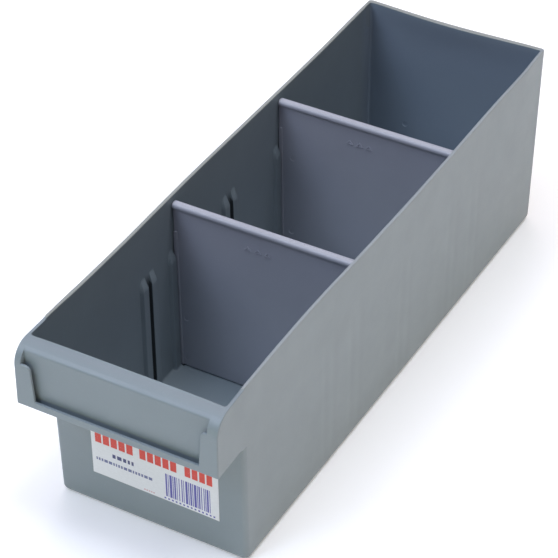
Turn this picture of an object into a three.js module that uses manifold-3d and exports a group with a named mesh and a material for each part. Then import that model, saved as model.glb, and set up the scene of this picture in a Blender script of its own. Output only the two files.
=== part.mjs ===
// Small open parts bin: one moulded tray with a card-holder hood across its
// front, two lift-out dividers standing in moulded slots, and a paper sticker.
// Millimetres. X = width, +Y = towards the back wall, +Z up.
// Origin: centre of the overall box, on the surface the bin stands on.
import * as THREE from "three";
import { mergeVertices } from "three/addons/utils/BufferGeometryUtils.js";
import Module from "manifold-3d";

const wasm = await Module();
wasm.setup();

// ---------------------------------------------------------------- dimensions
const H = 103.4;            // rim height
const HALF_W = 50.0;        // half width outside, at the rim
const SIDE_DRAFT = 0.85;    // each side wall leans in this much at the floor
const REAR_Y = 163.7;       // back wall, outside, at the rim
const REAR_DRAFT = 3.4;     // back wall leans in this much at the floor
const FRONT_Y0 = -137.8;    // front wall, outside, at the floor
const FRONT_LEAN = 3.5;     // front wall leans out this much over the full height
const WALL = 1.6;           // wall thickness at the rim
const WALL_GAIN = 0.55;     // extra side wall thickness at the floor
const FLOOR = 3.6;          // top of the floor above the surface the bin stands on
const RECESS = 1.8;         // depth of the recess under the floor, inside the foot rim
const FOOT_RIM = 5.0;       // width of the flat foot rim
const CORNER_R = 1.9;       // upright corners, outside
const FRONT_CORNER_R = 2.6;
const FOOT_R = 3.6;         // rounding round the base

const HOOD_FRONT = -163.7;  // front face of the hood
const HOOD_Z0 = 71.2;       // bottom of the hood
const HOOD_HALF_W = 50.8;   // half width of the hood at its front face
const FLARE_Y0 = -136.0;    // the cheeks flare from here to the front face
const NOSE_R = 10.0;        // rounding from hood face to hood top
const LIP_Z = 102.75;       // top of the rolled lip
const LIP_INNER_Y = -153.0; // edge of the lip towards the inside
const SCOOP_Z = 74.0;       // the front wall turns outwards to the lip from here
const PANEL_Y = -160.5;     // face of the label panel
const PANEL_T = 1.5;
const FLANGE_T = 1.1;       // card flanges round the label panel
const POCKET_L = -46.6;     // ends of the card pocket; the right upright is the wider one
const POCKET_R = 44.8;
const FLANGE_LOW = 40.4;    // window half width between the flanges, at the bottom
const FLANGE_HIGH = 42.0;   // and at their top
const FLANGE_TOP = 94.6;
const LIP_LOW_TOP = 74.9;   // top of the low flange
const POCKET_Z0 = 72.7;
const CHEEK_T = 1.9;

const SLOT_MID = 13.3;      // middle of the row of slots
const SLOTS = [-75, -50, 0, 50, 75];
const SLOT_W = 2.9;         // clear width between the two ribs of a slot
const RIB_W = 5.0;          // width of each rib on its crown
const RIB_SLOPE = 0.8;      // spread of each rib towards the wall
const RIB_P = 1.8;          // height of each rib over the wall
const RIB_TOP = 74.0;       // the lead-in ramp starts here
const RIB_FULL = 67.0;      // the ribs have their full height from here down

const DIV_SLOTS = [-50, 50];
const DIV_T = 1.5;          // plate thickness
const DIV_BEAD_T = 4.0;     // rounded bar along the top
const DIV_BEAD_Z0 = 97.5;
const DIV_BEAD_Z1 = 100.3;
const DIV_FOOT = 4.1;
const DIV_HALF_TOP = 47.2;  // plate half width just under the bar
const RUNNER_T = 2.3;
const RUNNER_TOP = 84.4;
const RUNNER_W = 1.7;

const STICKER = { x0: -30.1, x1: 35.8, z0: 20.1, z1: 56.0, t: 0.3, gap: 0.3 };

// ------------------------------------------------------------------- helpers
const toSolid = (geometry) => {
  const g = geometry.index ? geometry.toNonIndexed() : geometry.clone();
  for (const name of Object.keys(g.attributes)) if (name !== "position") g.deleteAttribute(name);
  const m = mergeVertices(g, 1e-4);
  return new wasm.Manifold(new wasm.Mesh({
    numProp: 3,
    vertProperties: new Float32Array(m.attributes.position.array),
    triVerts: new Uint32Array(m.index.array),
  }));
};

const toGeometry = (solid, move) => {
  const mesh = solid.getMesh();
  const g = new THREE.BufferGeometry();
  const p = Float32Array.from(mesh.vertProperties);
  if (move) for (let i = 0; i < p.length; i += 3) {
    const q = move(p[i], p[i + 1], p[i + 2]);
    p[i] = q[0]; p[i + 1] = q[1]; p[i + 2] = q[2];
  }
  g.setAttribute("position", new THREE.BufferAttribute(p, 3));
  g.setIndex(new THREE.BufferAttribute(Uint32Array.from(mesh.triVerts), 1));
  g.computeVertexNormals();
  return g;
};

// Closed loft through rings of equal point count, ordered upwards; every ring
// runs anticlockwise seen from above.
const loft = (rings) => {
  const n = rings[0].length, pos = [], idx = [];
  rings.forEach((r) => r.forEach((p) => pos.push(...p)));
  for (let k = 0; k + 1 < rings.length; k++)
    for (let i = 0; i < n; i++) {
      const a = k * n + i, b = k * n + ((i + 1) % n), c = a + n, d = b + n;
      idx.push(a, b, d, a, d, c);
    }
  const cap = (k, up) => {
    const c = [0, 0, 0];
    rings[k].forEach((p) => p.forEach((v, j) => { c[j] += v / n; }));
    pos.push(...c);
    const m = pos.length / 3 - 1;
    for (let i = 0; i < n; i++) {
      const a = k * n + i, b = k * n + ((i + 1) % n);
      if (up) idx.push(a, b, m); else idx.push(b, a, m);
    }
  };
  cap(0, false);
  cap(rings.length - 1, true);
  const g = new THREE.BufferGeometry();
  g.setAttribute("position", new THREE.BufferAttribute(new Float32Array(pos), 3));
  g.setIndex(idx);
  return toSolid(g);
};

// Rounded rectangle x0..x1, y0..y1 at height z, anticlockwise.
const ring = (x0, x1, y0, y1, rFront, rRear, z, seg = 4) => {
  const pts = [];
  const arc = (cx, cy, r, a0) => {
    for (let i = 0; i <= seg; i++) {
      const a = a0 + (i / seg) * Math.PI / 2;
      pts.push([cx + r * Math.cos(a), cy + r * Math.sin(a), z]);
    }
  };
  arc(x1 - rRear, y1 - rRear, rRear, 0);
  arc(x0 + rRear, y1 - rRear, rRear, Math.PI / 2);
  arc(x0 + rFront, y0 + rFront, rFront, Math.PI);
  arc(x1 - rFront, y0 + rFront, rFront, 1.5 * Math.PI);
  return pts;
};

// Prism: an outline in the Y-Z plane, pushed along X from x0 to x1.
const prismX = (outline, x0, x1) => {
  const s = new THREE.Shape(outline.map(([y, z]) => new THREE.Vector2(y, z)));
  const g = new THREE.ExtrudeGeometry(s, { depth: x1 - x0, bevelEnabled: false });
  // shape x -> Y, shape y -> Z, depth -> X
  g.applyMatrix4(new THREE.Matrix4().set(0, 0, 1, x0, 1, 0, 0, 0, 0, 1, 0, 0, 0, 0, 0, 1));
  return toSolid(g);
};

// Prism: an outline in the X-Z plane, pushed along Y from y0 to y1.
const prismY = (shape, y0, y1, curveSegments = 5) => {
  const s = shape instanceof THREE.Shape ? shape
    : new THREE.Shape(shape.map(([x, z]) => new THREE.Vector2(x, z)));
  const g = new THREE.ExtrudeGeometry(s, { depth: y1 - y0, bevelEnabled: false, curveSegments });
  // shape x -> X, shape y -> Z, depth -> -Y
  g.applyMatrix4(new THREE.Matrix4().set(1, 0, 0, 0, 0, 0, -1, y1, 0, 1, 0, 0, 0, 0, 0, 1));
  return toSolid(g);
};

const frontOuter = (z) => FRONT_Y0 - FRONT_LEAN * z / H;
const rearOuter = (z) => REAR_Y - REAR_DRAFT * (1 - z / H);
const sideOuter = (z) => HALF_W - SIDE_DRAFT * (1 - z / H);
const sideInner = (z) => sideOuter(z) - WALL - WALL_GAIN * (1 - z / H);

// ---------------------------------------------------------------- tray body
const outerRing = (z, inset) => {
  const w = sideOuter(z) - inset;
  return ring(-w, w, frontOuter(z) + inset, rearOuter(z) - inset,
    Math.max(FRONT_CORNER_R - inset * 0.3, 0.6), Math.max(CORNER_R - inset * 0.3, 0.5), z);
};
const shellRings = [];
for (let i = 0; i <= 4; i++) {
  const a = (i / 4) * Math.PI / 2;
  shellRings.push(outerRing(FOOT_R * (1 - Math.cos(a)), FOOT_R * (1 - Math.sin(a))));
}
shellRings.push(outerRing(HOOD_Z0 - 1, 0), outerRing(H, 0));
let body = loft(shellRings);

// hood: cheeks, rolled lip and label panel, hollow underneath
const arcPts = (cx, cy, r, a0, a1, n) => Array.from({ length: n + 1 }, (_, i) => {
  const a = a0 + (a1 - a0) * i / n;
  return [cx + r * Math.cos(a), cy + r * Math.sin(a)];
});
const hoodProfile = [
  [-134, 69.6], [frontOuter(69) - 0.2, 69.6], [frontOuter(69) - 3.0, 70.7], [HOOD_FRONT + 0.6, HOOD_Z0], [HOOD_FRONT, HOOD_Z0 + 0.6],
  ...arcPts(HOOD_FRONT + NOSE_R, LIP_Z - NOSE_R, NOSE_R, Math.PI, Math.PI / 2, 8),
  [-140, H], [-134, H],
];
let hood = prismX(hoodProfile.slice().reverse(), -HALF_W, HALF_W);
const scoopOuterTop = LIP_INNER_Y - 1.9;
const hollowProfile = [
  [-139.0, 60], [-139.4, SCOOP_Z - 0.6], [scoopOuterTop, LIP_Z - 3.0], [PANEL_Y + PANEL_T + 2.2, LIP_Z - 2.6],
  [PANEL_Y + PANEL_T + 0.4, LIP_Z - 4.2], [PANEL_Y + PANEL_T, LIP_Z - 6.6], [PANEL_Y + PANEL_T, 60],
];
hood = hood.subtract(prismX(hollowProfile, -(HALF_W - CHEEK_T), HALF_W - CHEEK_T));

// card pocket: a gap behind the flanges and the window in front of the panel
hood = hood.subtract(prismY([[POCKET_L, POCKET_Z0], [POCKET_R, POCKET_Z0], [POCKET_R, 112], [POCKET_L, 112]],
  HOOD_FRONT + FLANGE_T, PANEL_Y));
const win = new THREE.Shape();
const R2 = 2.4;
win.moveTo(-FLANGE_LOW, LIP_LOW_TOP);
win.lineTo(FLANGE_LOW, LIP_LOW_TOP);
win.lineTo(FLANGE_HIGH, FLANGE_TOP - R2);
win.quadraticCurveTo(FLANGE_HIGH, FLANGE_TOP, FLANGE_HIGH + R2 * 0.8, FLANGE_TOP);
win.lineTo(POCKET_R, FLANGE_TOP);
win.lineTo(POCKET_R, 112);
win.lineTo(POCKET_L, 112);
win.lineTo(POCKET_L, FLANGE_TOP);
win.lineTo(-FLANGE_HIGH - R2, FLANGE_TOP);
win.quadraticCurveTo(-FLANGE_HIGH, FLANGE_TOP, -FLANGE_HIGH, FLANGE_TOP - R2);
hood = hood.subtract(prismY(win, HOOD_FRONT - 4, HOOD_FRONT + FLANGE_T + 0.2));

body = body.add(hood);

// inside of the tray, with the front wall turning outwards to the lip
const innerRing = (z, front, inset = 0) => {
  const w = sideInner(z) - inset;
  return ring(-w, w, front + inset, rearOuter(z) - WALL - inset, 1.4, 1.2, z, 3);
};
const innerFront = (z) => frontOuter(z) + WALL;
const cavityRings = [];
for (let i = 0; i <= 3; i++) {
  const a = (i / 3) * Math.PI / 2, r = 1.6;
  const z = FLOOR + r * (1 - Math.cos(a));
  cavityRings.push(innerRing(z, innerFront(z), r * (1 - Math.sin(a))));
}
cavityRings.push(innerRing(SCOOP_Z, innerFront(SCOOP_Z)));
cavityRings.push(innerRing(LIP_Z, LIP_INNER_Y));
cavityRings.push(innerRing(112, LIP_INNER_Y));
body = body.subtract(loft(cavityRings));

// shallow recess under the floor, with a little draft
const underRing = (z, inset) => {
  const e = FOOT_R + FOOT_RIM + inset;
  return ring(-(sideOuter(0) - e), sideOuter(0) - e, frontOuter(0) + e, rearOuter(0) - e, 5 - inset, 5 - inset, z);
};
body = body.subtract(loft([underRing(-1, -0.3), underRing(RECESS, 0.55)]));

// pairs of ribs that make the divider slots
const rib = (side, y0, y1) => {
  const sec = (z, p, y0i, y1i) => {
    const w = sideInner(z);
    const q = [
      [w + 0.7, y0i - RIB_SLOPE * 0.5], [w + 0.7, y1i + RIB_SLOPE * 0.5],
      [w - p, y1i], [w - p, y0i],
    ];
    const pts = q.map(([x, y]) => [side * x, y, z]);
    return side > 0 ? pts : pts.reverse();
  };
  return loft([sec(1.0, RIB_P, y0, y1), sec(RIB_FULL, RIB_P, y0, y1), sec(RIB_TOP, 0.02, y0 + 0.7, y1 - 0.7)]);
};
for (const s of SLOTS) {
  const y = SLOT_MID + s;
  for (const side of [-1, 1]) {
    body = body.add(rib(side, y - SLOT_W / 2 - RIB_W, y - SLOT_W / 2));
    body = body.add(rib(side, y + SLOT_W / 2, y + SLOT_W / 2 + RIB_W));
  }
}

// the cheeks flare a little towards the hood's front face
const flare = (x, y, z) => {
  const t = Math.min(Math.max((FLARE_Y0 - y) / (FLARE_Y0 - HOOD_FRONT), 0), 1);
  return [x * (1 + (HOOD_HALF_W / HALF_W - 1) * t * Math.min(1, Math.max(0, (z - 60) / 9))), y, z];
};

// ------------------------------------------------------------------ dividers
const divider = (y) => {
  const halfAt = (z) => DIV_HALF_TOP - (sideInner(95) - sideInner(z));
  const plate = prismY([
    [-halfAt(DIV_FOOT), DIV_FOOT], [halfAt(DIV_FOOT), DIV_FOOT],
    [halfAt(DIV_BEAD_Z0), DIV_BEAD_Z0 + 0.6], [-halfAt(DIV_BEAD_Z0), DIV_BEAD_Z0 + 0.6],
  ], y - DIV_T / 2, y + DIV_T / 2);
  // rounded bar with chamfered ends, as a loft along X turned upright
  const r = 1.2, w = 47.9;
  const section = (x, s) => {
    const pts = [];
    const cx = [[1, 1], [-1, 1], [-1, -1], [1, -1]];
    cx.forEach(([sy, sz], k) => {
      for (let i = 0; i <= 3; i++) {
        const a = (k + i / 3) * Math.PI / 2;
        pts.push([x,
          y + (sy * (DIV_BEAD_T / 2 - r) + r * Math.cos(a)) * s,
          (DIV_BEAD_Z0 + DIV_BEAD_Z1) / 2 + (sz * ((DIV_BEAD_Z1 - DIV_BEAD_Z0) / 2 - r) + r * Math.sin(a)) * s]);
      }
    });
    return pts;
  };
  const bead = loft([section(-w, 0.7), section(-w + 0.7, 1), section(w - 0.7, 1), section(w, 0.7)]);
  let solid = plate.add(bead);
  for (const side of [-1, 1]) {
    const x0 = (z) => halfAt(z) - RUNNER_W + 0.2, x1 = (z) => halfAt(z) + 0.4;
    const pts = [[x0(DIV_FOOT), DIV_FOOT], [x1(DIV_FOOT), DIV_FOOT + 0.6], [x1(RUNNER_TOP), RUNNER_TOP - 1.2], [x0(RUNNER_TOP), RUNNER_TOP]];
    const q = pts.map(([x, z]) => [side * x, z]);
    solid = solid.add(prismY(side > 0 ? q : q.slice().reverse(), y - RUNNER_T / 2, y + RUNNER_T / 2));
  }
  // low raised arrowheads that mark which way up the plate goes
  for (const face of [-1, 1]) {
    const y0 = face < 0 ? y - DIV_T / 2 - 0.35 : y + DIV_T / 2 - 0.1;
    for (const x of [-7.6, -2.35, 2.9]) {
      solid = solid.add(prismY([[x - 2.1, 86.8], [x + 2.1, 86.8], [x, 89.4]], y0, y0 + 0.45));
    }
  }
  return solid;
};

// ------------------------------------------------------------------- sticker
const stickerGeometry = () => {
  const { x0, x1, z0, z1, t, gap } = STICKER;
  const s = new THREE.Shape([[x0, z0], [x1, z0], [x1, z1], [x0, z1]].map(([x, z]) => new THREE.Vector2(x, z)));
  const g = new THREE.ExtrudeGeometry(s, { depth: t, bevelEnabled: false });
  // follows the lean of the front wall, held clear of it by the gap
  const p = g.attributes.position;
  for (let i = 0; i < p.count; i++) {
    const x = p.getX(i), z = p.getY(i), d = p.getZ(i);
    p.setXYZ(i, x, frontOuter(z) - gap - d, z);
  }
  g.computeVertexNormals();
  return g;
};

// -------------------------------------------------------------------- output
const mat = (color, roughness) => new THREE.MeshStandardMaterial({ color, roughness, metalness: 0 });
const named = (name, geometry, material) => {
  const m = new THREE.Mesh(geometry, material);
  m.name = name;
  return m;
};

const bin = new THREE.Group();
bin.add(named("tray_body", toGeometry(body, flare), mat(0x7b8a90, 0.5)));
DIV_SLOTS.forEach((s, i) => {
  bin.add(named(["divider_front", "divider_rear"][i], toGeometry(divider(SLOT_MID + s)), mat(0x6a7086, 0.48)));
});
bin.add(named("product_label", stickerGeometry(), mat(0xe4e7ec, 0.6)));

export default bin;
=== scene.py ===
import math

import bmesh
import bpy
import numpy as np
from mathutils import Matrix, Vector


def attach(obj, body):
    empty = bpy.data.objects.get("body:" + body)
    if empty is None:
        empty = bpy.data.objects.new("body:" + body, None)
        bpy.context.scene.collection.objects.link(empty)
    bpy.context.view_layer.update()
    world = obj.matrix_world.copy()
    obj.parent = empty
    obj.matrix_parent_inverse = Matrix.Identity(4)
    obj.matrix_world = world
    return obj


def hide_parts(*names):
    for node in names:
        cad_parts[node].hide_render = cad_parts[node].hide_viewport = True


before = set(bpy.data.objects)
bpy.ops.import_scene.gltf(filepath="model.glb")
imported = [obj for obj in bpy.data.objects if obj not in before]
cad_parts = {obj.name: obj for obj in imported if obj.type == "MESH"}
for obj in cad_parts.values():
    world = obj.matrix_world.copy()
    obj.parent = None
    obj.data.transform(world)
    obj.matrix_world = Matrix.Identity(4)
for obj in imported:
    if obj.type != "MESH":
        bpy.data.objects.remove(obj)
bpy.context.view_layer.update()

# Open parts bin: moulded tray with a card-holder hood, two lift-out dividers
# and a paper sticker. Lengths below are millimetres in the CAD frame; every
# mesh is scaled to metres once it is finished.
MM = 0.001
H = 103.4
HALF_W = 50.0
SIDE_DRAFT = 0.85
REAR_Y, REAR_DRAFT = 163.7, 3.4
FRONT_Y0, FRONT_LEAN = -137.8, 3.5
WALL, WALL_GAIN, FLOOR, RECESS, FOOT_RIM = 1.6, 0.55, 3.6, 1.8, 5.0
CORNER_R, FRONT_CORNER_R, FOOT_R = 1.9, 2.6, 3.6
RIM_R = 0.42
HOOD_FRONT, HOOD_Z0, HOOD_HALF_W, FLARE_Y0 = -163.7, 71.0, 50.8, -136.0
NOSE_R, LIP_Z, LIP_INNER_Y, SCOOP_Z = 10.0, 102.75, -152.5, 74.0
PANEL_Y, PANEL_T, FLANGE_T = -160.5, 1.5, 1.1
POCKET_L, POCKET_R, FLANGE_LOW, FLANGE_HIGH, FLANGE_TOP = -46.6, 44.8, 40.4, 42.0, 94.4
LIP_LOW_TOP, POCKET_Z0, CHEEK_T = 74.9, 72.7, 1.9
SLOT_MID, SLOTS, SLOT_W, RIB_W = 13.3, [-75, -50, 0, 50, 75], 2.9, 5.0
RIB_P, RIB_TOP, RIB_FULL = 1.8, 74.0, 68.6
DIV_SLOTS = [-50, 50]
DIV_T, DIV_BEAD_T, DIV_BEAD_Z0, DIV_BEAD_Z1 = 1.5, 4.0, 97.5, 100.3
DIV_FOOT, DIV_HALF_TOP, RUNNER_T, RUNNER_TOP, RUNNER_W = 4.1, 47.2, 2.3, 84.4, 1.7
ARROW_X, ARROW_Z0, ARROW_Z1 = (-7.6, -2.35, 2.9), 86.8, 89.4
STICKER = dict(x0=-30.1, x1=35.8, z0=20.1, z1=56.0)


def front_outer(z):
    return FRONT_Y0 - FRONT_LEAN * z / H


def rear_outer(z):
    return REAR_Y - REAR_DRAFT * (1 - z / H)


def side_outer(z):
    return HALF_W - SIDE_DRAFT * (1 - z / H)


def side_inner(z):
    return side_outer(z) - WALL - WALL_GAIN * (1 - z / H)


# ------------------------------------------------------------ mesh helpers
def make(name, verts, faces):
    me = bpy.data.meshes.new(name)
    me.from_pydata([tuple(float(c) for c in v) for v in verts], [], faces)
    bm = bmesh.new()
    bm.from_mesh(me)
    bmesh.ops.remove_doubles(bm, verts=bm.verts, dist=1e-5)
    bmesh.ops.recalc_face_normals(bm, faces=bm.faces)
    bm.to_mesh(me)
    bm.free()
    ob = bpy.data.objects.new(name, me)
    bpy.context.scene.collection.objects.link(ob)
    return ob


def boolean(a, b, op, keep_b=False):
    m = a.modifiers.new("cut", "BOOLEAN")
    m.solver = "MANIFOLD"
    m.operation = op
    m.object = b
    dg = bpy.context.evaluated_depsgraph_get()
    me = bpy.data.meshes.new_from_object(a.evaluated_get(dg))
    a.modifiers.remove(m)
    old = a.data
    a.data = me
    bpy.data.meshes.remove(old)
    if not keep_b:
        gone = b.data
        bpy.data.objects.remove(b)
        bpy.data.meshes.remove(gone)
    if len(me.polygons) < 6:
        raise RuntimeError(f"{op} on {a.name} left nothing")
    return a


def loft(name, rings, closed=True):
    """Closed solid through rings of equal point count, with flat end caps."""
    n = len(rings[0])
    verts = [p for r in rings for p in r]
    faces = []
    for k in range(len(rings) - 1):
        for i in range(n):
            j = (i + 1) % n
            faces.append((k * n + i, k * n + j, (k + 1) * n + j, (k + 1) * n + i))
    faces.append(tuple(range(n))[::-1])
    m = (len(rings) - 1) * n
    faces.append(tuple(m + i for i in range(n)))
    return make(name, verts, faces)


def fillet(poly):
    """poly: (u, v, radius, segments, s0, s1). Returns rounded points (u, v, s),
    s running from s0 to s1 across each arc."""
    out = []
    n = len(poly)
    for i in range(n):
        u, v, r, seg, s0, s1 = poly[i]
        cur = np.array([u, v], float)
        if r <= 0:
            out.append((u, v, s0))
            continue
        a = np.array(poly[i - 1][:2], float) - cur
        b = np.array(poly[(i + 1) % n][:2], float) - cur
        a /= np.linalg.norm(a)
        b /= np.linalg.norm(b)
        half = math.acos(max(-1, min(1, float(a @ b)))) / 2
        c = cur + (a + b) / np.linalg.norm(a + b) * (r / math.sin(half))
        p0 = cur + a * (r / math.tan(half)) - c
        p1 = cur + b * (r / math.tan(half)) - c
        t0, t1 = math.atan2(p0[1], p0[0]), math.atan2(p1[1], p1[0])
        d = (t1 - t0 + math.pi) % (2 * math.pi) - math.pi
        for k in range(seg + 1):
            t = t0 + d * k / seg
            out.append((c[0] + r * math.cos(t), c[1] + r * math.sin(t), s0 + (s1 - s0) * k / seg))
    return out


def mitres(P):
    """Unit-offset outward mitre vectors of an anticlockwise outline."""
    e = np.roll(P, -1, 0) - P
    e /= np.linalg.norm(e, axis=1)[:, None]
    nrm = np.stack([e[:, 1], -e[:, 0]], 1)
    prev = np.roll(nrm, 1, 0)
    return (nrm + prev) / (1 + (nrm * prev).sum(1))[:, None]


def slab(name, outline, lo, hi, seg=3, to3=None):
    """Solid pushed between lo and hi, every edge of its two end faces rounded
    by that outline point's own radius. outline: (u, v, radius), anticlockwise.
    lo, hi: numbers or functions of (u, v). to3 maps (u, v, w) to x, y, z."""
    P = np.array([o[:2] for o in outline], float)
    R = np.array([o[2] for o in outline], float)
    M = mitres(P)
    f_lo = lo if callable(lo) else (lambda u, v: lo)
    f_hi = hi if callable(hi) else (lambda u, v: hi)
    rings = []
    for side in (0, 1):
        part = []
        for k in range(seg + 1):
            a = math.pi / 2 * k / seg
            ring = []
            for p, m, r in zip(P, M, R):
                q = p - m * (r * (1 - math.cos(a)))
                if side == 0:
                    w = f_lo(q[0], q[1]) + r * (1 - math.sin(a))
                else:
                    w = f_hi(q[0], q[1]) - r * (1 - math.sin(a))
                ring.append(to3(q[0], q[1], w))
            part.append(ring)
        rings += part[::-1] if side == 0 else part
    return loft(name, rings)


def along_x(u, v, w):
    return (w, u, v)


def along_y(u, v, w):
    return (u, w, v)


def stations(a, b, step):
    n = max(1, round(abs(b - a) / step))
    return [a + (b - a) * i / n for i in range(n + 1)]


# ---------------------------------------------------------------- the tray
def outer_ring(z, inset):
    w = side_outer(z) - inset
    y0, y1 = front_outer(z) + inset, rear_outer(z) - inset
    rf, rr = max(FRONT_CORNER_R - inset * 0.35, 0.5), max(CORNER_R - inset * 0.35, 0.4)
    seg = 7
    pts = []

    def arc(cx, cy, r, a0):
        for i in range(seg + 1):
            a = a0 + i / seg * math.pi / 2
            pts.append((cx + r * math.cos(a), cy + r * math.sin(a), z))

    ys = np.linspace(0, 1, 151)[1:-1]
    xs = np.linspace(0, 1, 21)[1:-1]
    arc(w - rr, y1 - rr, rr, 0)
    for t in xs:
        pts.append(((w - rr) + t * (-2 * (w - rr)), y1, z))
    arc(-w + rr, y1 - rr, rr, math.pi / 2)
    for t in ys:
        pts.append((-w, (y1 - rr) + t * ((y0 + rf) - (y1 - rr)), z))
    arc(-w + rf, y0 + rf, rf, math.pi)
    for t in xs:
        pts.append((-(w - rf) + t * 2 * (w - rf), y0, z))
    arc(w - rf, y0 + rf, rf, 1.5 * math.pi)
    for t in ys:
        pts.append((w, (y0 + rf) + t * ((y1 - rr) - (y0 + rf)), z))
    return pts


def build_outer():
    rings = []
    for k in range(8):
        a = k / 7 * math.pi / 2
        rings.append(outer_ring(FOOT_R * (1 - math.cos(a)), FOOT_R * (1 - math.sin(a))))
    for z in stations(FOOT_R, 69.0, 7)[1:]:
        rings.append(outer_ring(z, 0))
    for z in (75, 82, 89, 96, 100):
        rings.append(outer_ring(z, 0))
    for k in range(5):
        a = k / 4 * math.pi / 2
        rings.append(outer_ring(H - RIM_R + RIM_R * math.sin(a), RIM_R * (1 - math.cos(a))))
    return loft("tray_visual", rings)


def build_hood():
    poly = [
        (-134.0, 69.6, 0, 0, 0.3, 0.3),
        (-134.0, H - 0.004, 0, 0, RIM_R, RIM_R),
        (-141.0, 103.1, 14, 3, RIM_R, RIM_R),
        (HOOD_FRONT, LIP_Z, NOSE_R, 14, RIM_R, 0.75),
        (HOOD_FRONT, HOOD_Z0, 0.7, 3, 0.75, 0.5),
        (front_outer(69) - 3.4, 70.7, 3.0, 3, 0.5, 0.5),
        (front_outer(69) - 0.9, 69.6, 1.0, 3, 0.5, 0.5),
    ]
    pts = fillet(poly)
    half = lambda u, v: side_outer(v) + 0.004
    return slab("hood", pts, lambda u, v: -half(u, v), half, 4, along_x)


def front_inner(z):
    a = front_outer(z) + WALL
    slope = -FRONT_LEAN / H
    k = (LIP_INNER_Y - (front_outer(SCOOP_Z) + WALL)) / (LIP_Z - SCOOP_Z) - slope
    if z > SCOOP_Z - 2:
        a += k * (z - SCOOP_Z + 2) ** 2 / 8 if z < SCOOP_Z + 2 else k * (z - SCOOP_Z)
    r, z0 = 0.5, LIP_Z - 0.5
    if z > z0:
        t = min(z - z0, 0.48)
        a -= r - math.sqrt(r * r - t * t)
        a -= 0.6 * max(0, z - z0 - 0.48)
    return a


def side_flare(z):
    z0 = H - RIM_R
    if z <= z0:
        return 0.0
    t = min(z - z0, RIM_R * 0.97)
    return RIM_R - math.sqrt(RIM_R * RIM_R - t * t) + 0.3 * max(0, z - z0 - RIM_R * 0.97)


def rib_ramp(z):
    return max(0.0, min(1.0, (RIB_TOP - z) / (RIB_TOP - RIB_FULL)))


def side_columns(z, y_first, y_last):
    """Stations along a side wall as (y, rib height) at this level."""
    ramp = rib_ramp(z)
    t = min(1, max(0, (z - RIB_FULL) / (RIB_TOP - RIB_FULL)))
    hw = RIB_W / 2 - 0.7 * t
    soft = [(hw + 0.42, 0.0), (hw + 0.26, 0.05), (hw + 0.05, 0.25), (hw - 0.45, 0.84), (hw - 0.66, 0.96), (hw - 0.95, 1.0)]
    crisp = [(hw + 0.10, 0.0), (hw + 0.06, 0.10), (hw + 0.01, 0.50), (hw - 0.04, 0.86), (hw - 0.16, 0.97), (hw - 0.36, 1.0)]
    cols = []
    zones = []
    for s in SLOTS:
        c = SLOT_MID + s
        zone = []
        for side in (-1, 1):
            m = c + side * (SLOT_W / 2 + RIB_W / 2)
            first, last = (soft, crisp) if side < 0 else (crisp, soft)
            zone += [(m - o, RIB_P * ramp * q) for o, q in first]
            zone += [(m + o, RIB_P * ramp * q) for o, q in last[::-1]]
            if side < 0:
                zone += [(c - 0.5, -0.35 * ramp), (c + 0.5, -0.35 * ramp)]
        zones.append(zone)
    cols += [(y, 0.0) for y in np.linspace(y_first, -128, 6)]
    last = -128.0
    for s, zone in zip(SLOTS, zones):
        a = SLOT_MID + s - (SLOT_W / 2 + RIB_W + 0.5)
        cols += [(y, 0.0) for y in stations(last, a, 6)[1:-1]]
        cols += zone
        last = SLOT_MID + s + (SLOT_W / 2 + RIB_W + 0.5)
    cols += [(y, 0.0) for y in stations(last, 153, 6)[1:-1]]
    cols += [(y, 0.0) for y in np.linspace(153, y_last, 5)]
    return cols


def cavity_ring(z, inset):
    w = side_inner(min(z, H)) + side_flare(z) - inset
    y0 = front_inner(z) + inset
    thick = max(0.0, min(1.0, (z - 90.0) / 11.0))
    y1 = rear_outer(min(z, H)) - WALL - 0.6 * thick * thick * (3 - 2 * thick) + side_flare(z) - inset
    rf, rr, seg = 1.5, 1.3, 5
    pts = []

    def arc(cx, cy, r, a0):
        for i in range(seg + 1):
            a = a0 + i / seg * math.pi / 2
            pts.append((cx + r * math.cos(a), cy + r * math.sin(a), z))

    xs = np.linspace(0, 1, 21)[1:-1]
    cols = side_columns(z, y0 + rf, y1 - rr)[1:-1]
    arc(w - rr, y1 - rr, rr, 0)
    for t in xs:
        pts.append(((w - rr) * (1 - 2 * t), y1, z))
    arc(-w + rr, y1 - rr, rr, math.pi / 2)
    for y, h in cols[::-1]:
        pts.append((-(w - h), y, z))
    arc(-w + rf, y0 + rf, rf, math.pi)
    for t in xs:
        pts.append((-(w - rf) * (1 - 2 * t), y0, z))
    arc(w - rf, y0 + rf, rf, 1.5 * math.pi)
    for y, h in cols:
        pts.append((w - h, y, z))
    return pts


def build_cavity():
    r = 1.6
    rings = []
    for k in range(6):
        a = k / 5 * math.pi / 2
        rings.append(cavity_ring(FLOOR + r * (1 - math.cos(a)), r * (1 - math.sin(a))))
    zs = stations(FLOOR + r, 66.0, 7)[1:] + [67, 68.5, 70.5, 72, 73, 74, 75, 76, 82, 89, 96, 100,
          102.2, 102.4, 102.55, 102.67, 102.75, 102.98, 103.06, 103.15, 103.25, 103.33, 103.386, 104.4, 112]
    rings += [cavity_ring(z, 0) for z in zs]
    return loft("cavity", rings)


def under_ring(z, inset):
    e = FOOT_R + FOOT_RIM + inset
    w, y0, y1, r, seg = side_outer(0) - e, front_outer(0) + e, rear_outer(0) - e, 5 - inset, 8
    pts = []
    for cx, cy, a0 in ((w - r, y1 - r, 0), (-w + r, y1 - r, 1), (-w + r, y0 + r, 2), (w - r, y0 + r, 3)):
        for i in range(seg + 1):
            a = (a0 + i / seg) * math.pi / 2
            pts.append((cx + r * math.cos(a), cy + r * math.sin(a), z))
    return pts


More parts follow.
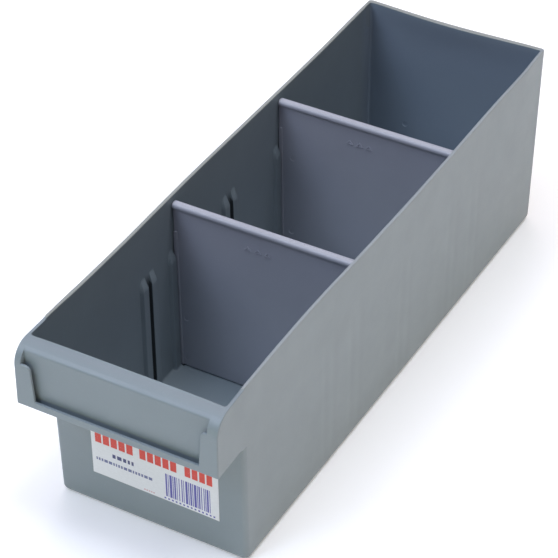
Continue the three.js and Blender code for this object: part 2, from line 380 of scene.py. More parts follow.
def build_under():
    rings = [under_ring(-1, -0.85), under_ring(0, -0.22), under_ring(0.12, -0.06), under_ring(0.3, 0.0)]
    for k in range(1, 6):
        a = k / 5 * math.pi / 2
        rings.append(under_ring(RECESS - 0.8 + 0.8 * math.sin(a), 0.15 + 0.8 * (1 - math.cos(a))))
    return loft("under", rings)


def build_pocket():
    """The card slot behind the flanges, and the room in front of the panel
    above them, with the panel's top edge rounded into the roll."""
    c = np.array([HOOD_FRONT + NOSE_R, LIP_Z - NOSE_R])
    r = 1.5
    f = np.array([PANEL_Y + r, 0.0])
    f[1] = c[1] + math.sqrt((NOSE_R - r) ** 2 - (f[0] - c[0]) ** 2)
    d = (f - c) / np.linalg.norm(f - c)
    end = math.atan2(d[1], d[0])
    prof = [(HOOD_FRONT + FLANGE_T, POCKET_Z0), (PANEL_Y, POCKET_Z0)]
    for k in range(5):
        a = math.pi + (end - math.pi) * k / 4
        prof.append((f[0] + r * math.cos(a), f[1] + r * math.sin(a)))
    tang = np.array([-d[1], d[0]])
    if tang[0] < 0:
        tang = -tang
    last = np.array(prof[-1]) + tang * 2.2 + d * 0.02
    prof += [tuple(last), (last[0], 114.0), (HOOD_FRONT + FLANGE_T, 114.0)]
    return slab("pocket", [(u, v, 0.0) for u, v in prof], POCKET_L, POCKET_R, 1, along_x)


def build_window():
    poly = [
        (-FLANGE_LOW, LIP_LOW_TOP, 0.5, 3, 0, 0),
        (FLANGE_LOW, LIP_LOW_TOP, 0.5, 3, 0, 0),
        (FLANGE_HIGH, FLANGE_TOP, 2.2, 6, 0, 0),
        (POCKET_R, FLANGE_TOP, 0.3, 2, 0, 0),
        (POCKET_R, 114, 0, 0, 0, 0),
        (POCKET_L, 114, 0, 0, 0, 0),
        (POCKET_L, FLANGE_TOP, 0.4, 2, 0, 0),
        (-FLANGE_HIGH, FLANGE_TOP, 2.9, 7, 0, 0),
    ]
    P = np.array([p[:2] for p in fillet(poly)])
    M = mitres(P)
    r = 0.35
    rings = []
    back = HOOD_FRONT + FLANGE_T + 0.6
    rings.append([(u, back, v) for u, v in P])
    for k in range(4):
        a = k / 4 * math.pi / 2
        rings.append([(q[0], HOOD_FRONT + r - r * math.sin(a), q[1])
                      for q in P + M * (r * (1 - math.cos(a)))])
    rings.append([(q[0], HOOD_FRONT - 5, q[1]) for q in P + M * (r * 0.62 + 0.3)])
    return loft("window", rings)


def build_hollow():
    top = LIP_INNER_Y - 1.9
    prof = [(PANEL_Y + PANEL_T, 60), (-139.0, 60), (-139.4, SCOOP_Z - 0.6), (top, LIP_Z - 3.0),
            (PANEL_Y + PANEL_T + 2.2, LIP_Z - 2.6), (PANEL_Y + PANEL_T + 0.4, LIP_Z - 4.2),
            (PANEL_Y + PANEL_T, LIP_Z - 6.6)]
    return slab("hollow", [(u, v, 0.0) for u, v in prof], -(HALF_W - CHEEK_T), HALF_W - CHEEK_T, 1, along_x)


def curve(knots, t):
    """Smooth curve through (t, value) knots, flat at its ends."""
    ts, vs = np.array(knots, float).T
    t = np.clip(t, ts[0], ts[-1])
    i = np.clip(np.searchsorted(ts, t) - 1, 0, len(ts) - 2)
    m = np.zeros(len(ts))
    m[1:-1] = (vs[2:] - vs[:-2]) / (ts[2:] - ts[:-2])
    h = ts[i + 1] - ts[i]
    s = (t - ts[i]) / h
    return ((2 * s**3 - 3 * s**2 + 1) * vs[i] + (s**3 - 2 * s**2 + s) * h * m[i]
            + (-2 * s**3 + 3 * s**2) * vs[i + 1] + (s**3 - s**2) * h * m[i + 1])


RIGHT_BOW = [(-137, 0), (-113, -0.6), (-76, -0.95), (-36, -0.12), (13, 0.62), (38, 0.66), (60, 0.58), (85, 0.36), (110, 0.32), (138, 0.6), (160, 0)]
LEFT_BOW = [(-137, 0), (-110, -0.48), (-76, -0.6), (-45, -0.16), (-16, 0.1), (40, -0.35), (85, -0.7), (109, -0.74), (140, -0.3), (162, 0)]


def shape_tray(co):
    """Cheek flare, the slight bow of the thin walls after moulding, and the
    sink marks opposite the ribs. co: n x 3 array in mm."""
    x, y, z = co[:, 0].copy(), co[:, 1].copy(), co[:, 2].copy()
    sgn = np.sign(x)
    so = HALF_W - SIDE_DRAFT * (1 - z / H)
    t = np.clip((FLARE_Y0 - y) / (FLARE_Y0 - HOOD_FRONT), 0, 1)
    k = np.clip((z - 60) / 9, 0, 1)
    new_x = x + sgn * np.abs(x) / so * t * k * (HOOD_HALF_W - so)
    # sink marks on the outer faces of the side walls
    is_out = np.abs(x) > so - 0.25
    sink = np.zeros(len(x))
    for s in SLOTS:
        for side in (-1, 1):
            c = SLOT_MID + s + side * (SLOT_W / 2 + RIB_W / 2)
            sink += np.exp(-(((y - c) / 1.7) ** 2))
    fade = np.clip((76 - z) / 10, 0, 1) * np.clip((z - 3) / 6, 0, 1)
    new_x -= sgn * is_out * sink * fade * 0.032
    # bow of the side walls
    lift = np.clip(z / H, 0, 1) ** 1.6
    wall = np.clip((np.abs(x) - 38) / 8, 0, 1)
    bow = np.where(x > 0, curve(RIGHT_BOW, y), curve(LEFT_BOW, y))
    new_x += sgn * bow * lift * wall
    # bow of the rear wall
    near = np.clip((y - 150) / 8, 0, 1)
    u = np.clip((x + 50) / 100, 0, 1)
    dy = -1.8 * np.sin(np.pi * u ** 0.9) ** 1.65 * lift * near
    # walls a little fuller at the rim than lower down
    rim = np.clip((z - 90) / 11, 0, 1)
    rim = rim * rim * (3 - 2 * rim)
    back_in = (y > 150) & (y < REAR_Y - REAR_DRAFT * (1 - z / H) - 0.8)
    dy -= back_in * 0.45 * np.sin(np.pi * u) ** 2 * rim
    body = np.clip((y + 134) / 10, 0, 1) * np.clip((158 - y) / 4, 0, 1) * rim * (np.abs(x) > 44)
    side_in = np.abs(x) < so - 0.8
    new_x += body * np.where(side_in, np.where(x < 0, 0.2, 0.0), sgn * np.where(x < 0, 0.14, 0.10))
    # the roll over the hood sits a little lower at its two ends
    roll = np.clip((-138.5 - y) / 5, 0, 1) * np.clip((z - 84) / 12, 0, 1)
    roll = roll * roll * (3 - 2 * roll)
    dz = -roll * 0.55 * np.clip((np.abs(x) - 24) / 25, 0, 1) ** 2
    out = co.copy()
    out[:, 0] = np.clip(new_x, -50.78, 50.78)
    out[:, 1] = y + dy
    out[:, 2] = (z + dz) * 0.99999
    return out


def reshape(ob, fn):
    me = ob.data
    co = np.zeros(len(me.vertices) * 3)
    me.vertices.foreach_get("co", co)
    co = fn(co.reshape(-1, 3))
    me.vertices.foreach_set("co", co.ravel())
    me.update()


def finish_mesh(ob, angle=32, weighted=True, merge=2e-4):
    """To metres, merged, smooth-shaded with crisp edges kept, flat faces flat."""
    bm = bmesh.new()
    bm.from_mesh(ob.data)
    bmesh.ops.remove_doubles(bm, verts=bm.verts, dist=merge)
    bmesh.ops.dissolve_degenerate(bm, edges=bm.edges, dist=merge)
    bmesh.ops.triangulate(bm, faces=[f for f in bm.faces if len(f.verts) > 4])
    bmesh.ops.recalc_face_normals(bm, faces=bm.faces)
    lim = math.radians(angle)
    for f in bm.faces:
        f.smooth = True
    for e in bm.edges:
        e.smooth = not (len(e.link_faces) == 2 and e.calc_face_angle(0) > lim)
    bm.transform(Matrix.Scale(MM, 4))
    bm.to_mesh(ob.data)
    bm.free()
    ob.data.update()
    if weighted:
        m = ob.modifiers.new("normals", "WEIGHTED_NORMAL")
        m.mode = "FACE_AREA"
        m.weight = 80
        m.keep_sharp = True
    return ob


def mark_disc(ob, x, z, y, facing, r=1.5, depth=0.14):
    """A shallow round ejector-pin mark sunk in a wall that looks towards -Y (facing -1) or +Y."""
    n = 32
    rings = []
    for q, w in ((1.10, -0.25), (1.03, 0.0), (0.99, depth * 0.7), (0.93, depth)):
        rings.append([(x + r * q * math.cos(2 * math.pi * i / n), y - facing * w, z + r * q * math.sin(2 * math.pi * i / n))
                      for i in range(n)])
    return boolean(ob, loft("mark", rings), "DIFFERENCE")


def build_tray():
    hood = build_hood()
    boolean(hood, build_hollow(), "DIFFERENCE")
    boolean(hood, build_pocket(), "DIFFERENCE")
    boolean(hood, build_window(), "DIFFERENCE")
    ob = build_outer()
    boolean(ob, hood, "UNION")
    boolean(ob, build_cavity(), "DIFFERENCE")
    boolean(ob, build_under(), "DIFFERENCE")
    for x, z in ((-25.2, 35.7), (25.2, 35.7)):
        mark_disc(ob, x, z, rear_outer(z) - WALL, -1)
    reshape(ob, shape_tray)
    return finish_mesh(ob)


# ---------------------------------------------------------------- dividers
def build_divider(name, y, marks, w, up, run):
    """w: half length of the bar. up, run: how far the plate above the slots and
    the runners stand out past the plate's nominal edge."""
    half_at = lambda z: DIV_HALF_TOP - (side_inner(95) - side_inner(z))
    poly = [(-half_at(DIV_FOOT), DIV_FOOT, 0.8, 3, 0.5, 0.5), (half_at(DIV_FOOT), DIV_FOOT, 0.8, 3, 0.5, 0.5),
            (half_at(76), 76.0, 0, 0, 0.22, 0.22), (half_at(79) + up, 79.0, 0, 0, 0.22, 0.22),
            (half_at(DIV_BEAD_Z0) + up, DIV_BEAD_Z0 + 0.6, 0, 0, 0.22, 0.22),
            (-half_at(DIV_BEAD_Z0) - up, DIV_BEAD_Z0 + 0.6, 0, 0, 0.22, 0.22),
            (-half_at(79) - up, 79.0, 0, 0, 0.22, 0.22), (-half_at(76), 76.0, 0, 0, 0.22, 0.22)]
    ob = slab(name, fillet(poly), y - DIV_T / 2, y + DIV_T / 2, 4, along_y)
    # rounded bar along the top, with a fine parting groove
    zc, hz, hy, r = (DIV_BEAD_Z0 + DIV_BEAD_Z1) / 2, (DIV_BEAD_Z1 - DIV_BEAD_Z0) / 2, DIV_BEAD_T / 2, 1.15
    sec = fillet([(y - hy, zc - hz, 0.45, 3, 0.4, 0.4), (y + hy, zc - hz, 0.45, 3, 0.4, 0.4),
                  (y + hy, zc + hz, r, 7, 0.85, 0.85), (y + 0.62, zc + hz, 0, 0, 0.85, 0.85),
                  (y + 0.45, zc + hz - 0.13, 0, 0, 0.85, 0.85), (y + 0.28, zc + hz, 0, 0, 0.85, 0.85),
                  (y - hy, zc + hz, 1.85, 9, 0.85, 0.85)])
    boolean(ob, slab("bar", sec, -w, w, 5, along_x), "UNION")
    for face in (-1, 1):
        a, b = sorted((y + face * (DIV_T / 2 + 0.4), y + face * (DIV_T / 2 - 0.28)))
        box = [(a, DIV_BEAD_Z0 - 0.38, 0), (b, DIV_BEAD_Z0 - 0.38, 0), (b, DIV_BEAD_Z0 + 0.02, 0), (a, DIV_BEAD_Z0 + 0.02, 0)]
        boolean(ob, slab("undercut", box, -(w - 2), w - 2, 1, along_x), "DIFFERENCE")
    # runners down both edges, tapered at the top
    for side in (-1, 1):
        x0 = lambda z: half_at(z) - RUNNER_W + 0.2
        x1 = lambda z: half_at(z) + run
        pts = [(x0(DIV_FOOT), DIV_FOOT + 0.01, 0.0), (x1(DIV_FOOT), DIV_FOOT + 0.6, 0.0),
               (x1(RUNNER_TOP), RUNNER_TOP - 0.6, 0.9), (x0(RUNNER_TOP), RUNNER_TOP, 0.6)]
        q = [(side * a, b, r2) for a, b, r2 in pts]
        q = q if side > 0 else q[::-1]
        out = fillet([(a, b, r2, 4 if r2 else 0, 0.35, 0.35) for a, b, r2 in q])
        boolean(ob, slab("runner", out, y - RUNNER_T / 2, y + RUNNER_T / 2, 4, along_y), "UNION")
    # low raised arrowheads that mark which way up the plate goes
    for face in (-1, 1):
        base = y + face * DIV_T / 2
        for cx in ARROW_X:
            tri = fillet([(cx - 2.1, ARROW_Z0, 0.2, 3, 0, 0), (cx + 2.1, ARROW_Z0, 0.2, 3, 0, 0), (cx, ARROW_Z1, 0.2, 3, 0, 0)])
            hole = fillet([(cx - 1.05, ARROW_Z0 + 0.55, 0.1, 2, 0, 0), (cx + 1.05, ARROW_Z0 + 0.55, 0.1, 2, 0, 0), (cx, ARROW_Z1 - 0.95, 0.1, 2, 0, 0)])
            lo, hi = (base - 0.38, base + 0.15) if face < 0 else (base - 0.15, base + 0.38)
            t = slab("arrow", [(a, b, 0.06) for a, b, _ in tri], lo, hi, 2, along_y)
            boolean(t, slab("arrow_in", [(a, b, 0.0) for a, b, _ in hole], lo - 1, hi + 1, 1, along_y), "DIFFERENCE")
            boolean(ob, t, "UNION")
    for x, z in marks:
        mark_disc(ob, x, z, y - DIV_T / 2, -1)
    return ob


# ----------------------------------------------------------------- sticker
def build_sticker():
    """Thin paper on the leaning front wall. Ink areas are faces of their own."""
    x0, x1, z0, z1 = STICKER["x0"], STICKER["x1"], STICKER["z0"], STICKER["z1"]
    ink = []  # (x0, x1, z0, z1, material index)
    # heading: three groups of plain red blocks
    for a, b, n in ((-28.2, -7.6, 5), (-4.9, 15.0, 5), (18.4, 33.3, 4)):
        p = (b - a) / n
        for i in range(n):
            ink.append((a + i * p + 0.25, a + (i + 1) * p - 0.55, 39.7, 48.2, 1))
    # one short and one long line
    x = -19.2
    for wd in (2.2, 2.9, 2.2, 1.7, 1.7):
        ink.append((x, x + wd - 0.55, 33.3, 35.6, 2))
        x += wd + 0.25
    x = -28.0
    for wd in (1.1, 1.3, 1.3, 2.2, 2.2, 1.2, 1.1, 1.3, 1.3, 2.2, 2.2, 1.2, 1.4, 1.4, 1.4, 2.2, 2.2):
        ink.append((x, x + wd - 0.35, 28.7, 30.4, 5))
        x += wd + 0.16
    # plain striped block
    widths = [.9, .5, .4, .6, 1.3, .4, .5, .4, .9, .5, .4, .8, .5, 1.0, .6, .5, .4, .8, 1.2, .4, .5, .5, .9, .4, .5, .5,
              1.3, .4, .5, .4, .8, .6, .5, .9, .5, .4, .5, .4, 1.0, .5, .4, .8]
    x = 8.4
    for i, wd in enumerate(widths):
        wd *= 0.905
        if i % 2 == 0 and x + wd < 33.5:
            ink.append((x, x + wd, 22.8, 36.7, 3))
        x += wd
    x = 7.4
    while x < 33.0:
        ink.append((x, x + 0.95, 20.95, 21.9, 3))
        x += 1.95
    for i in range(5):
        ink.append((-3.2 + i * 1.2, -2.5 + i * 1.2, 21.3, 21.9, 4))
    gx = sorted({round(v, 4) for r in ink for v in r[:2]} | set(np.round(np.linspace(x0, x1, 34), 4)))
    gz = sorted({round(v, 4) for r in ink for v in r[2:4]} | set(np.round(np.linspace(z0, z1, 19), 4)))
    gx = [v for v in gx if x0 <= v <= x1]
    gz = [v for v in gz if z0 <= v <= z1]
    t = 0.11
    verts, faces, mats = [], [], []
    nx, nz = len(gx), len(gz)
    tilt = math.radians(-0.55)
    cx, cz = (x0 + x1) / 2, (z0 + z1) / 2

    def place(x, z, d):
        xx = cx + (x - cx) * math.cos(tilt) - (z - cz) * math.sin(tilt)
        zz = cz + (x - cx) * math.sin(tilt) + (z - cz) * math.cos(tilt)
        # a corner that has lifted a little
        lift = 0.10 * max(0.0, 1 - math.hypot(x - x1, z - z0) / 9.0) ** 2
        lift += 0.07 * max(0.0, 1 - math.hypot(x - x0, z - z0) / 7.0) ** 2
        return (xx, front_outer(zz) - 0.012 - lift - d, zz)

    for layer in (0, 1):
        for z in gz:
            for x in gx:
                verts.append(place(x, z, t * layer))
    o = nx * nz
    for j in range(nz - 1):
        for i in range(nx - 1):
            a = j * nx + i
            faces.append((a + 1, a, a + nx, a + nx + 1))
            mats.append(0)
            faces.append((o + a, o + a + 1, o + a + nx + 1, o + a + nx))
            mx, mz = (gx[i] + gx[i + 1]) / 2, (gz[j] + gz[j + 1]) / 2
            kind = 0
            for r in ink:
                if r[0] < mx < r[1] and r[2] < mz < r[3]:
                    kind = r[4]
            mats.append(kind)
    ring = [i for i in range(nx)] + [nx * j + nx - 1 for j in range(1, nz)] \
        + [nx * (nz - 1) + i for i in range(nx - 2, -1, -1)] + [nx * j for j in range(nz - 2, 0, -1)]
    for a, b in zip(ring, ring[1:] + ring[:1]):
        faces.append((a, b, o + b, o + a))
        mats.append(0)
    me = bpy.data.meshes.new("label_paper_sheet")
    me.from_pydata([tuple(v) for v in verts], [], faces)
    me.polygons.foreach_set("material_index", mats)
    me.transform(Matrix.Scale(MM, 4))
    me.update()
    ob = bpy.data.objects.new("label_paper_sheet", me)
    bpy.context.scene.collection.objects.link(ob)
    return ob


# --------------------------------------------------------------- materials
def srgb(r, g, b):
    f = lambda c: c / 12.92 if c <= 0.04045 else ((c + 0.055) / 1.055) ** 2.4
    return tuple(f(v / 255) for v in (r, g, b)) + (1.0,)


class Nodes:
    def __init__(self, name):
        self.m = bpy.data.materials.new(name)
        self.m.use_nodes = True
        self.t = self.m.node_tree
        self.t.nodes.clear()
        self.out = self.t.nodes.new("ShaderNodeOutputMaterial")
        self.bsdf = self.t.nodes.new("ShaderNodeBsdfPrincipled")
        self.t.links.new(self.bsdf.outputs[0], self.out.inputs["Surface"])
        self.tc = self.t.nodes.new("ShaderNodeTexCoord")

    def link(self, a, b):
        self.t.links.new(a, b)

    def mapped(self, scale, rot=(0, 0, 0)):
        n = self.t.nodes.new("ShaderNodeMapping")
        n.inputs["Scale"].default_value = scale
        n.inputs["Rotation"].default_value = rot
        self.link(self.tc.outputs["Object"], n.inputs["Vector"])
        return n.outputs["Vector"]

    def noise(self, scale, detail=3.0, rough=0.5, vector=None, distortion=0.0):
        n = self.t.nodes.new("ShaderNodeTexNoise")
        n.inputs["Scale"].default_value = scale
        n.inputs["Detail"].default_value = detail
        n.inputs["Roughness"].default_value = rough
        n.inputs["Distortion"].default_value = distortion
        self.link(vector if vector is not None else self.tc.outputs["Object"], n.inputs["Vector"])
        return n.outputs["Fac"]

    def ramp(self, fac, lo, hi, a=0.0, b=1.0):
        n = self.t.nodes.new("ShaderNodeMapRange")
        n.inputs["From Min"].default_value = lo
        n.inputs["From Max"].default_value = hi
        n.inputs["To Min"].default_value = a
        n.inputs["To Max"].default_value = b
        self.link(fac, n.inputs["Value"])
        return n.outputs["Result"]

    def math(self, op, a, b):
        n = self.t.nodes.new("ShaderNodeMath")
        n.operation = op
        for i, v in enumerate((a, b)):
            if isinstance(v, (int, float)):
                n.inputs[i].default_value = v
            else:
                self.link(v, n.inputs[i])
        return n.outputs[0]

    def mix(self, fac, a, b):
        n = self.t.nodes.new("ShaderNodeMix")
        n.data_type = "RGBA"
        self.link(fac, n.inputs["Factor"])
        for sock, v in ((n.inputs[6], a), (n.inputs[7], b)):
            if isinstance(v, tuple):
                sock.default_value = v
            else:
                self.link(v, sock)
        return n.outputs[2]

    def bump(self, height, distance, strength=1.0, normal=None):
        n = self.t.nodes.new("ShaderNodeBump")
        n.inputs["Strength"].default_value = strength
        n.inputs["Distance"].default_value = distance
        self.link(height, n.inputs["Height"])
        if normal is not None:
            self.link(normal, n.inputs["Normal"])
        return n.outputs["Normal"]


def scaled(c, k):
    return tuple(v * k for v in c[:3]) + (1.0,)


def tray_painted_light(s, col):
    """Painted shade and highlight beside the sink marks opposite the ribs on the outer faces, and painted shade inside
    the narrow divider slots, as a factor on the colour; then a painted highlight on the rim and painted cool light on
    the inner face of the rear wall."""
    sep = s.t.nodes.new("ShaderNodeSeparateXYZ")
    s.link(s.tc.outputs["Object"], sep.inputs[0])
    x, y, z = sep.outputs
    # streaks of painted shade and highlight beside the sink marks, standing in for how light falls on the shallow dents
    ax = s.math("ABSOLUTE", x, 0.0)
    # streaks
    ramp = s.t.nodes.new("ShaderNodeValToRGB")
    cr = ramp.color_ramp
    cr.interpolation = "EASE"
    stops = []
    for c in SLOTS:
        for off, v in ((-10.0, 0.5), (-7.4, 1.0), (-4.0, 0.1), (0.8, 0.85), (4.4, 0.0), (8.0, 0.5)):
            stops.append(((SLOT_MID + c + off + 100.0) / 200.0, v))
    cr.elements[0].position, cr.elements[1].position = stops[0][0], stops[-1][0]
    cr.elements[0].color = cr.elements[1].color = (0.5, 0.5, 0.5, 1.0)
    for pos, v in stops[1:-1]:
        e = cr.elements.new(pos)
        e.color = (v, v, v, 1.0)
    s.link(s.ramp(y, -0.1, 0.1), ramp.inputs[0])
    fade = s.math("MULTIPLY", s.ramp(z, 0.078, 0.066), s.ramp(z, 0.003, 0.010))
    fade = s.math("MULTIPLY", fade, s.ramp(ax, 0.0485, 0.0489))
    wob = s.ramp(s.noise(1.0, 2, 0.5, s.mapped((4, 260, 22))), 0.3, 0.7, 0.55, 1.0)
    k = s.math("MULTIPLY", s.math("SUBTRACT", ramp.outputs[0], 0.5), s.math("MULTIPLY", fade, wob))
    k = s.math("ADD", 1.0, s.math("MULTIPLY", k, 0.085))
    # painted shade: the inside of the narrow divider slots darkened in the colour
    slot = None
    for c in SLOTS:
        n = s.math("LESS_THAN", s.math("ABSOLUTE", s.math("SUBTRACT", y, (SLOT_MID + c) * MM), 0.0), 0.00156)
        slot = n if slot is None else s.math("ADD", slot, n)
    slot = s.math("MULTIPLY", slot, s.math("MULTIPLY", s.ramp(z, 0.0735, 0.068), s.ramp(ax, 0.0435, 0.0445)))
    inner = s.math("LESS_THAN", ax, 0.0484)
    slot = s.math("MULTIPLY", slot, inner)
    k = s.math("MULTIPLY", k, s.math("SUBTRACT", 1.0, s.math("MULTIPLY", slot, 0.72)))
    out = s.t.nodes.new("ShaderNodeVectorMath")
    out.operation = "SCALE"
    s.link(col, out.inputs[0])
    s.link(k, out.inputs["Scale"])
    col = out.outputs[0]

    def tinted(mask, rgb, col):
        n = s.t.nodes.new("ShaderNodeVectorMath")
        n.operation = "MULTIPLY"
        s.link(col, n.inputs[0])
        n.inputs[1].default_value = rgb
        return s.mix(mask, col, n.outputs[0])

    # painted highlight along the rim, paler and a little warmer on all but the right wall, and painted cool light on
    # the inner face of the rear wall
    rim = s.ramp(z, 0.10300, 0.10325)
    col = tinted(s.math("MULTIPLY", rim, s.ramp(x, 0.046, 0.048)), (1.34, 1.23, 1.17), col)
    col = tinted(s.math("MULTIPLY", rim, s.ramp(x, 0.048, 0.046)), (1.34, 1.18, 1.00), col)
    inside = s.math("MULTIPLY", s.ramp(y, 0.1500, 0.1585), s.math("LESS_THAN", ax, 0.0482))
    inside = s.math("MULTIPLY", inside, s.math("LESS_THAN", s.math("SUBTRACT", y, s.ramp(z, 0.0, 0.1034, 0.1593, 0.1627)), 0.0))
    inside = s.math("MULTIPLY", inside, s.math("MULTIPLY", s.ramp(z, 0.004, 0.012), s.ramp(z, 0.1030, 0.1026)))
    return tinted(inside, (1.03, 1.05, 1.15), col)


def plastic(name, base, rough=0.44, flow_axis=(6, 60, 14), tone=None):
    """Injection-moulded polypropylene: faint flow mottle, fine mould grain,
    a little dust and a few hairline scuffs."""
    s = Nodes(name)
    mottle = s.ramp(s.noise(26, 4, 0.55, distortion=0.4), 0.35, 0.68)
    streak = s.ramp(s.noise(1.0, 3, 0.5, s.mapped(flow_axis)), 0.32, 0.70)
    speck = s.ramp(s.noise(900, 2, 0.6), 0.63, 0.78)
    col = s.mix(mottle, scaled(base, 0.965), scaled(base, 1.035))
    col = s.mix(s.math("MULTIPLY", streak, 0.5), col, scaled(base, 1.05))
    col = s.mix(s.math("MULTIPLY", speck, 0.16), col, scaled(base, 1.5))
    # hairline scuffs: very stretched noise, thresholded
    sc1 = s.ramp(s.noise(1.0, 2, 0.5, s.mapped((900, 22, 40), (0.35, 0.0, 0.12))), 0.715, 0.76)
    sc2 = s.ramp(s.noise(1.0, 2, 0.5, s.mapped((30, 24, 1100), (0.28, 0.1, 0.0))), 0.72, 0.765)
    patch = s.ramp(s.noise(14, 2, 0.5), 0.48, 0.66)
    scuff = s.math("MULTIPLY", s.math("MAXIMUM", sc1, sc2), patch)
    col = s.mix(s.math("MULTIPLY", scuff, 0.13), col, scaled(base, 1.7))
    # tone, where given, adds painted shade and highlights to the colour
    if tone is not None:
        col = tone(s, col)
    s.link(col, s.bsdf.inputs["Base Color"])
    r = s.math("ADD", s.ramp(s.noise(60, 4, 0.6), 0.3, 0.7, rough - 0.035, rough + 0.045),
               s.math("MULTIPLY", scuff, 0.10))
    s.link(r, s.bsdf.inputs["Roughness"])
    grain = s.noise(2600, 2, 0.6)
    wave = s.noise(32, 2, 0.5)
    n = s.bump(grain, 0.000022, 0.55)
    n = s.bump(wave, 0.00045, 0.22, n)
    n = s.bump(s.noise(430, 3, 0.6), 0.00005, 0.30, n)
    s.link(n, s.bsdf.inputs["Normal"])
    s.bsdf.inputs["IOR"].default_value = 1.49
    s.bsdf.inputs["Specular IOR Level"].default_value = 0.62
    return s.m


def paper(name, base, rough=0.55, ink=False):
    s = Nodes(name)
    fibre = s.ramp(s.noise(700, 4, 0.65, s.mapped((1.0, 1.0, 1.6))), 0.35, 0.70)
    tone = s.ramp(s.noise(40, 3, 0.5), 0.35, 0.7)
    dark = scaled(base, 0.93 if not ink else 0.90)
    col = s.mix(fibre, dark, base)
    col = s.mix(s.math("MULTIPLY", tone, 0.35), col, scaled(base, 1.03 if not ink else 1.12))
    if ink:
        gap = s.ramp(s.noise(2400, 2, 0.6), 0.66, 0.80)
        col = s.mix(s.math("MULTIPLY", gap, 0.45), col, srgb(226, 228, 234))
    s.link(col, s.bsdf.inputs["Base Color"])
    s.link(s.ramp(s.noise(90, 3, 0.5), 0.3, 0.7, rough - 0.05, rough + 0.06), s.bsdf.inputs["Roughness"])
    s.link(s.bump(s.noise(1800, 3, 0.6), 0.00002, 0.5), s.bsdf.inputs["Normal"])
    s.bsdf.inputs["IOR"].default_value = 1.5
    return s.m


TRAY = plastic("tray_plastic_look", (0.186, 0.227, 0.253, 1.0), 0.42, tone=tray_painted_light)
DIVIDER = plastic("divider_plastic_look", (0.321, 0.335, 0.380, 1.0), 0.36, (60, 6, 10))
PAPER = [paper("label_paper_look", (0.685, 0.705, 0.745, 1.0)),
         paper("ink_red", (0.62, 0.055, 0.035, 1.0), 0.5, True),
         paper("ink_navy", (0.045, 0.05, 0.16, 1.0), 0.5, True),
         paper("ink_violet", (0.085, 0.08, 0.36, 1.0), 0.5, True),
         paper("ink_pale_red", (0.55, 0.22, 0.25, 1.0), 0.5, True),
         paper("ink_slate", (0.13, 0.15, 0.30, 1.0), 0.5, True)]

# ------------------------------------------------------------------ pieces
tray = build_tray()
tray.name = tray.data.name = "tray_shell"
tray.data.materials.clear()
tray.data.materials.append(TRAY)
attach(tray, "tray")
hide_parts("tray_body")

PIN_MARKS = (((-42.0, 33.6), (-42.4, 9.2), (42.0, 33.6)), ((-39.7, 67.4), (39.7, 67.4), (-40.2, 22.0)))
for node, s, marks in zip(("divider_front", "divider_rear"), DIV_SLOTS, PIN_MARKS):
    y = SLOT_MID + s
    fit = (47.9, 0.42, 0.70) if node == "divider_front" else (47.5, 0.32, 0.45)
    d = build_divider(node + "_plate", y, marks, *fit)
    seat = 0.1 if node == "divider_front" else -0.35
    reshape(d, lambda co: co + np.array([0.0, 0.0, seat]))
    finish_mesh(d)
    d.data.materials.clear()
    d.data.materials.append(DIVIDER)
    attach(d, node)
    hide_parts(node)

sheet = build_sticker()
for m in PAPER:
    sheet.data.materials.append(m)
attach(sheet, "tray")
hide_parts("product_label")

# ------------------------------------------------------------------- stage
fm = Nodes("floor_look")
tone = fm.ramp(fm.noise(3, 2, 0.5), 0.3, 0.7)
fm.link(fm.mix(tone, (0.93, 0.93, 0.93, 1), (0.95, 0.95, 0.95, 1)), fm.bsdf.inputs["Base Color"])
fm.bsdf.inputs["Roughness"].default_value = 0.9
fm.bsdf.inputs["Specular IOR Level"].default_value = 0.0
fm.bsdf.inputs["Emission Color"].default_value = (1, 1, 1, 1)
fm.bsdf.inputs["Emission Strength"].default_value = 0.19
bm = bmesh.new()
bmesh.ops.create_grid(bm, x_segments=8, y_segments=8, size=3.0)
me = bpy.data.meshes.new("floor")
bm.to_mesh(me)
bm.free()
floor = bpy.data.objects.new("floor", me)
floor.location.z = -0.00012
bpy.context.scene.collection.objects.link(floor)
floor.data.materials.append(fm.m)

scene = bpy.context.scene
world = bpy.data.worlds.new("studio")
scene.world = world
world.use_nodes = True
bg = world.node_tree.nodes.get("Background") or world.node_tree.nodes.new("ShaderNodeBackground")
bg.inputs["Color"].default_value = (0.90, 0.94, 1.0, 1.0)
bg.inputs["Strength"].default_value = 0.0
scene.view_settings.view_transform = "Standard"
scene.view_settings.look = "None"


def area(name, loc, target, size, power, color):
    d = bpy.data.lights.new(name, "AREA")
    d.shape = "RECTANGLE"
    d.size, d.size_y = size
    d.energy = power
    d.color = color
    o = bpy.data.objects.new(name, d)
    o.location = loc
    o.rotation_mode = "QUATERNION"
    o.rotation_quaternion = (Vector(target) - Vector(loc)).to_track_quat("-Z", "Y")
    scene.collection.objects.link(o)
    return o


def ring_light(name, az, el, dist, size, rgb):
    """Softbox aimed at the bin. az: 0 = in front of the hood, 90 = to its right.
    rgb: watts in each channel."""
    a, e = math.radians(az), math.radians(el)
    target = Vector((0, 0, 0.05))
    loc = target + Vector((math.sin(a) * math.cos(e), -math.cos(a) * math.cos(e), math.sin(e))) * dist
    k = max(rgb)
    return area(name, loc, target, size, k, tuple(c / k for c in rgb))


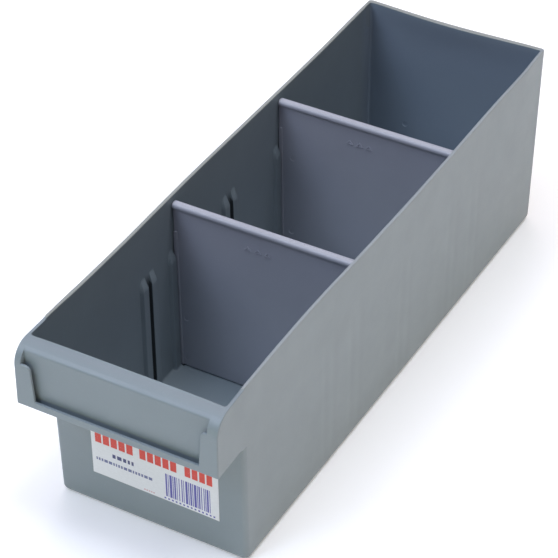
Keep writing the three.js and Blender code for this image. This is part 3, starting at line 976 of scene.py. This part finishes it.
BOX, SMALL, WIDE, STRIP = (0.9, 0.8), (0.45, 0.45), (1.2, 0.6), (1.2, 0.08)
ring_light("key_low", 340, 42, 1.9, SMALL, (3.4, 4.1, 5.0))
ring_light("key_high", 340, 52, 1.9, BOX, (2.4, 3.0, 3.8))
ring_light("key_side", 325, 51, 1.9, BOX, (4.9, 4.8, 6.1))
ring_light("left_soft", 300, 45, 1.9, SMALL, (2.8, 3.0, 2.7))
ring_light("overhead", 0, 90, 1.9, (1.1, 1.1), (10.0, 10.4, 10.5))
ring_light("front_high", 0, 72, 1.9, BOX, (2.2, 2.8, 4.6))
ring_light("right_high", 90, 72, 1.9, BOX, (12.0, 12.1, 12.3))
ring_light("right_mid", 90, 45, 1.9, BOX, (1.6, 1.4, 1.8))
ring_light("rear_high", 190, 72, 1.9, BOX, (3.0, 2.2, 1.6))
ring_light("top_left", 250, 64, 1.9, BOX, (3.4, 3.2, 3.4))
ring_light("rear_left_soft", 209, 40, 1.9, BOX, (4.6, 4.2, 4.8))
ring_light("front_right_low", 45, 14, 2.0, WIDE, (1.8, 1.5, 1.3))
ring_light("rear_right_low", 135, 15, 2.0, WIDE, (1.1, 1.2, 1.1))
ring_light("front_low", 0, 15, 2.0, WIDE, (0.6, 0.4, 0.8))
ring_light("bounce_right", 90, 1.2, 1.6, STRIP, (2.6, 2.1, 1.2))
ring_light("bounce_front_right", 45, 1.2, 1.6, STRIP, (2.0, 1.4, 0.6))
ring_light("bounce_rear_right", 135, 1.2, 1.6, STRIP, (1.7, 1.2, 0.5))
ring_light("bounce_front", 0, 1.2, 1.6, STRIP, (1.4, 1.9, 0.4))

# ------------------------------------------------------------------ camera
R = Vector((0.87078, 0.49168, 0.0))
az, el, roll = math.radians(29.46), math.radians(37.628), math.radians(-0.117)
back = Vector((math.sin(az) * math.cos(el), -math.cos(az) * math.cos(el), math.sin(el)))
right = (-back).cross(Vector((0, 0, 1))).normalized()
up = right.cross(-back)
R2 = right * math.cos(roll) + up * math.sin(roll)
U2 = up * math.cos(roll) - right * math.sin(roll)
pos = Vector((-8.141, -7.331, 50.0)) + back * 1141.897
cam_data = bpy.data.cameras.new("camera")
cam_data.sensor_width = 36.0
cam_data.lens = 2386.379 / 558 * 36.0
cam_data.clip_start, cam_data.clip_end = 0.05, 20.0
cam = bpy.data.objects.new("camera", cam_data)
cam.matrix_world = Matrix((
    (R2.x, U2.x, back.x, pos.x * MM),
    (R2.y, U2.y, back.y, pos.y * MM),
    (R2.z, U2.z, back.z, pos.z * MM),
    (0, 0, 0, 1)))
scene.collection.objects.link(cam)
scene.camera = cam
